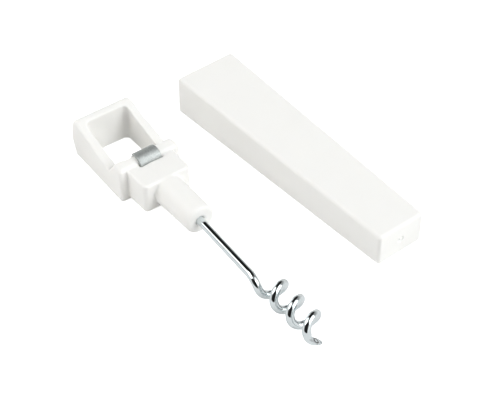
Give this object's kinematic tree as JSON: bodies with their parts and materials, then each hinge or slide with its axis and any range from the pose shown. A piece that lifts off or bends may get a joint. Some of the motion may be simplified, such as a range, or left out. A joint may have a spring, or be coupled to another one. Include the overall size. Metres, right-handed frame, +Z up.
{
  "type": "pocket corkscrew",
  "caption": "Pocket corkscrew with a plastic head, a crown-cap lifting claw and a steel worm, beside the tapered sheath that covers the worm.",
  "frame": {"origin": "middle of the laid-out object's outline, on the surface that it lies on", "axes": "+X along the worm from the head to the tip, +Y from the corkscrew towards the sheath, +Z up"},
  "size_m": [0.1284, 0.0708, 0.016],
  "materials": {
    "head_plastic": "satin moulded white",
    "sheath_plastic": "satin moulded white",
    "claw_steel": "zinc plated",
    "worm_steel": "bright plated"
  },
  "bodies": {
    "corkscrew": {"opener_head": "head_plastic", "claw_plate": "claw_steel", "worm": "worm_steel"},
    "sheath": {"sheath": "sheath_plastic"}
  },
  "joints": [
    {"name": "sheath_draw", "type": "slide", "parent": "corkscrew", "child": "sheath", "axis": [0.9993, 0.0361, 0], "range_m": [0, 0.13]}
  ]
}
